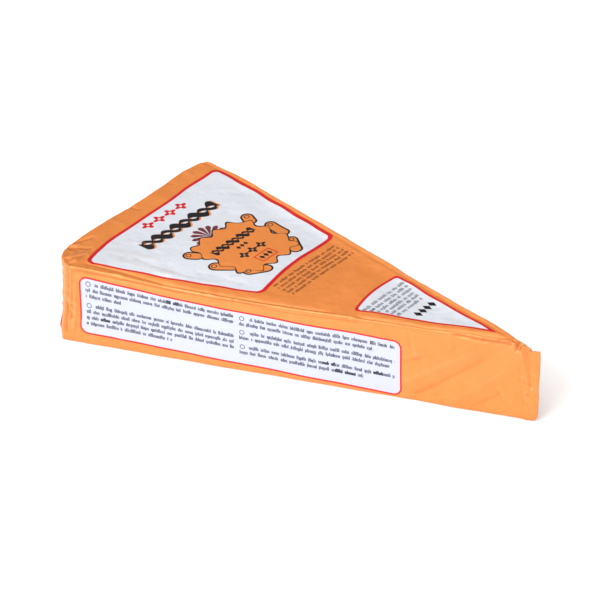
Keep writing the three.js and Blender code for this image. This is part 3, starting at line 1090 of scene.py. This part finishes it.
def inner_wedge(inset, step, columns, heights, corner):
    """A plain wedge inset all round from the package's outside: points, sides and box.

    step is the spacing along it, and corner its near heel corner's radius.
    """
    back = inset / math.sin(HALF_ANGLE)
    along = graded((WHEEL_RADIUS - inset - back, step), (9.0, step * 0.6), (0.6, 1.0))
    band = np.array([0.0, 0.4, 0.8, 1.2])
    bands = (band, np.linspace(0.0, 1.0, columns), band)
    corners = [(partial(np.full_like, fill_value=size), 0.0) for size in (corner, 3.5)]
    points, sides, box = wedge_lattice(along, bands, heights, 1.2, corners, 0.6)
    points[:, 0] -= back
    points[:, 2] += inset
    points[:, 2] -= near_sag(points)
    return points, sides, box


def wrapper_piece(tree):
    """The sheet over the wedge, with the inner side of its wall, folded and crumpled."""
    outer, sides, box, known = wrapper_points()
    quads = np.concatenate(list(sides.values()))
    heights = np.linspace(0.0, HEIGHT - 2 * WALL, 9)
    inner, inner_sides, _ = inner_wedge(WALL, 3.2, 20, heights, 7.5)
    inner_quads = np.concatenate(list(inner_sides.values()))[:, ::-1]
    bare = np.tile([[-80.0, BARE_FLAT]], (inner_quads.size, 1))
    crumple = np.concatenate([known["crumple"], np.zeros(len(inner))])
    points = np.concatenate([outer, inner])
    all_quads = np.concatenate([quads, inner_quads + len(outer)])
    flat = np.concatenate([flat_corners(sides, box), bare])
    piece = mesh_piece("wrapper", points, all_quads, flat, {"crumple": crumple})
    crumpled(piece, tree, crest=(0.95, 4.2), slack=(0.6, 18.0))

    after = np.empty(points.size)
    piece.data.vertices.foreach_get("co", after)
    after = after.reshape(-1, 3)[: len(outer)] / MM - np.array(APEX)
    crest = crest_of(after, quads, normals_of(after, quads)) - known["before"]
    layer = piece.data.attributes.new("fold_line", "FLOAT", "POINT")
    layer.data.foreach_set("value", np.append(crest, np.zeros(len(inner))).astype(np.float32))
    return piece


def sheet_patch(name, place, counts, tree, crest, slack):
    """A thin closed sheet of its own: place(a, b) gives its middle surface for shares 0 to 1.

    counts is the number of points each way; crest and slack are the crumple's (height, size).
    """
    a, b = (v.ravel() for v in np.meshgrid(*(np.linspace(0, 1, n) for n in counts), indexing="ij"))
    small = 1e-4
    middle = place(a, b)
    along, across = place(a + small, b) - middle, place(a, b + small) - middle
    normal = np.cross(along, across)
    normal /= np.linalg.norm(normal, axis=1, keepdims=True)
    index, sides = box_lattice(*counts, 2)
    number = index[:, 0] * counts[1] + index[:, 1]
    side = (index[:, 2] - 0.5)[:, None] * SHEET
    points = middle[number] + normal[number] * side
    quads = np.concatenate([quads_of(part) for part in sides.values()])
    flat = np.stack([points[:, 0], BARE_FLAT + points[:, 1]], 1)[quads.ravel()]
    piece = mesh_piece(name, points, quads, flat, {"crumple": np.ones(len(points))})
    crumpled(piece, tree, crest, slack)
    piece.data.attributes.new("fold_line", "FLOAT", "POINT")
    return piece


def heel_place(angle, lift, z):
    """A place over the heel, lift outside it, following the rounded corners at both ends."""
    corner = np.where(angle < 0.0, near_corner(z), far_corner(z))
    within_corner = np.clip(corner - (HALF_ANGLE - np.abs(angle)) * WHEEL_RADIUS, 0.0, None)
    drawn_in = corner - np.sqrt(np.square(corner) - np.square(within_corner))
    radius = WHEEL_RADIUS + heel_shift(angle, z) + lift - drawn_in
    return np.stack([-radius * np.cos(angle), radius * np.sin(angle), z], 1)


def upper_flap(a, b):
    """The top's end of the sheet, folded down over the heel, its ends cut back by the side folds."""
    half = HALF_ANGLE - FLAP_MARGIN / 2 - UPPER_FLAP_SLANT / WHEEL_RADIUS * b
    angle = (2.0 * a - 1.0) * half
    free = UPPER_FLAP_BOTTOM + 0.7 * wander(a, 0.35, 31)
    folded = HEIGHT - UPPER_FLAP_FOLD
    z = folded + (free - folded) * b
    lift = -0.25 + 0.75 * smooth(b, 0.0, 0.10) + 0.12 * wander(a + 0.4 * b, 0.16, 32)
    lift += 0.35 * smooth(b, 0.86, 1.0) * (0.5 + 0.5 * wander(a, 0.2, 33))
    return heel_place(angle, lift, z)


def lower_flap(a, b):
    """The underside's end of the sheet, folded up over the upper flap."""
    half = HALF_ANGLE - FLAP_MARGIN / 2 - LOWER_FLAP_SLANT / WHEEL_RADIUS * b
    angle = (2.0 * a - 1.0) * half - LOWER_FLAP_SKEW * (1.0 - a)
    free = LOWER_FLAP_TOP + 0.8 * wander(a, 0.3, 41)
    z = LOWER_FLAP_FOOT + (free - LOWER_FLAP_FOOT) * b
    lift = -0.2 + 1.35 * smooth(b, 0.0, 0.16) + 0.14 * wander(a - 0.3 * b, 0.13, 42)
    lift += 0.4 * smooth(b, 0.80, 1.0) * (0.5 + 0.5 * wander(a, 0.17, 43))
    return heel_place(angle, lift, z)


def under_lap(a, b):
    """The far side's end of the sheet under the package, from its free edge to the far edge."""
    along = LAP_HEEL_END + (LAP_TIP_END - LAP_HEEL_END) * a
    free = 0.9 * wander(a, 0.3, 51)
    edge = along * HALF_ANGLE - 1.0
    across = free + (edge - free) * b
    angle = across / along
    z = 0.14 + 0.24 * smooth(b, 0.80, 1.0) + 0.0 * a
    return np.stack([-along * np.cos(angle), along * np.sin(angle), z], 1)


def cheese_piece(tree):
    """The cheese in its rind, with small eyes in its cut sides."""
    heights = graded((0.0, 0.4), (2.4, 1.0), (HEIGHT - 2 * CHEESE_INSET - 2.4, 0.4),
                     (HEIGHT - 2 * CHEESE_INSET, 1.0))
    points, sides, box = inner_wedge(CHEESE_INSET, 0.95, 52, heights, 6.5)
    quads = np.concatenate(list(sides.values()))
    up, aside = box["z"], box["half"] - np.abs(box["across"])
    depth = np.minimum.reduce([up, heights[-1] - up, box["along"].max() - box["along"]])
    cut = (aside < 1e-6) * smooth(depth, 0.5, 1.5)
    random = np.random.default_rng(61)
    eyes = np.zeros(len(points))
    for _ in range(130):
        middle = np.array([random.uniform(8.0, 150.0), random.uniform(3.5, heights[-1] - 3.5)])
        size = random.uniform(0.7, 1.9)
        near = random.choice([-1.0, 1.0]) * box["across"] > 0
        apart = np.hypot(box["along"] - middle[0], up - middle[1]) / size
        eyes += near * np.sqrt(np.clip(1.0 - apart * apart, 0.0, 1.0)) * size * 0.5
    points = points - normals_of(points, quads) * (np.clip(eyes, 0.0, 0.9) * cut)[:, None]
    piece = mesh_piece("cheese", points, quads, None, {"crumple": 1.0 - cut, "rind": 1.0 - cut})
    return crumpled(piece, tree, crest=(0.30, 5.0), slack=(0.3, 16.0))


def build():
    laminate, cheese = printed_laminate(), soft_cheese()
    folded = crumple_tree(laminate)
    sheet = [
        wrapper_piece(folded),
        sheet_patch("heel_flap_upper", upper_flap, (150, 40), folded, (0.30, 4.5), (0.2, 15.0)),
        sheet_patch("heel_flap_lower", lower_flap, (150, 24), folded, (0.30, 4.5), (0.2, 15.0)),
        sheet_patch("underside_lap", under_lap, (120, 36), folded, (0.06, 6.0), (0.0, 15.0)),
    ]
    for piece in sheet:
        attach(piece, "root")
        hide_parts("wrapper")
    wedge = cheese_piece(crumple_tree(cheese))
    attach(wedge, "root")
    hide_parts("cheese_wedge")


def softbox(name, towards, distance, size, power):
    """A softbox that faces the origin from a direction, in metres and watts."""
    data = bpy.data.lights.new(name, "AREA")
    data.shape = "RECTANGLE"
    data.size, data.size_y = size
    data.energy = power
    lamp = in_scene(name, data)
    direction = Vector(towards).normalized()
    lamp.location = direction * distance
    lamp.rotation_euler = direction.to_track_quat("Z", "Y").to_euler()


def camera():
    """A long lens from above the near side, aimed at the middle of the wedge's length."""
    azimuth, elevation, roll = (math.radians(a) for a in (37.443, 31.604, -2.827))
    back = Vector((
        math.sin(azimuth) * math.cos(elevation),
        -math.cos(azimuth) * math.cos(elevation),
        math.sin(elevation),
    ))
    right = Vector((math.cos(azimuth), math.sin(azimuth), 0.0))
    up = back.cross(right)
    turned_right = right * math.cos(roll) + up * math.sin(roll)
    turned_up = up * math.cos(roll) - right * math.sin(roll)
    look = Vector(placed([(-90.558, 2.315, 14.0)])[0])
    distance = 1.2
    data = bpy.data.cameras.new("camera")
    data.lens = 220.06
    data.sensor_width = 36.0
    data.clip_start, data.clip_end = 0.05, 20.0
    view = in_scene("camera", data)
    axes = Matrix((turned_right, turned_up, back)).transposed()
    view.matrix_world = Matrix.Translation(look + back * distance) @ axes.to_4x4()
    bpy.context.scene.camera = view


def floor():
    """A wide pale matt floor."""
    material = bpy.data.materials.new("matt_white_board")
    material.use_nodes = True
    surface = material.node_tree.nodes["Principled BSDF"]
    surface.inputs["Base Color"].default_value = srgb("#FBFBFB")
    surface.inputs["Roughness"].default_value = 0.9
    mesh = bpy.data.meshes.new("floor")
    half = 3.0
    corners = [(-half, -half, 0.0), (half, -half, 0.0), (half, half, 0.0), (-half, half, 0.0)]
    mesh.from_pydata(corners, [], [(0, 1, 2, 3)])
    mesh.materials.append(material)
    in_scene("floor", mesh)


def lights():
    world = bpy.data.worlds.new("studio")
    bpy.context.scene.world = world
    world.use_nodes = True
    background = world.node_tree.nodes["Background"]
    background.inputs["Color"].default_value = srgb("#FFFFFF")
    background.inputs["Strength"].default_value = 0.15
    softbox("key", (-0.1, -0.85, 0.5), 1.3, (1.0, 1.0), 11.0)
    softbox("overhead", (0.0, -0.35, 0.9), 0.97, (2.0, 2.0), 22.5)
    softbox("far fill", (0.9, 0.6, 0.30), 1.6, (1.6, 1.0), 3.0)
    softbox("heel fill", (-1.0, 0.3, 0.25), 1.6, (1.4, 1.0), 2.0)


build()
camera()
floor()
lights()
bpy.context.scene.view_settings.view_transform = "Standard"
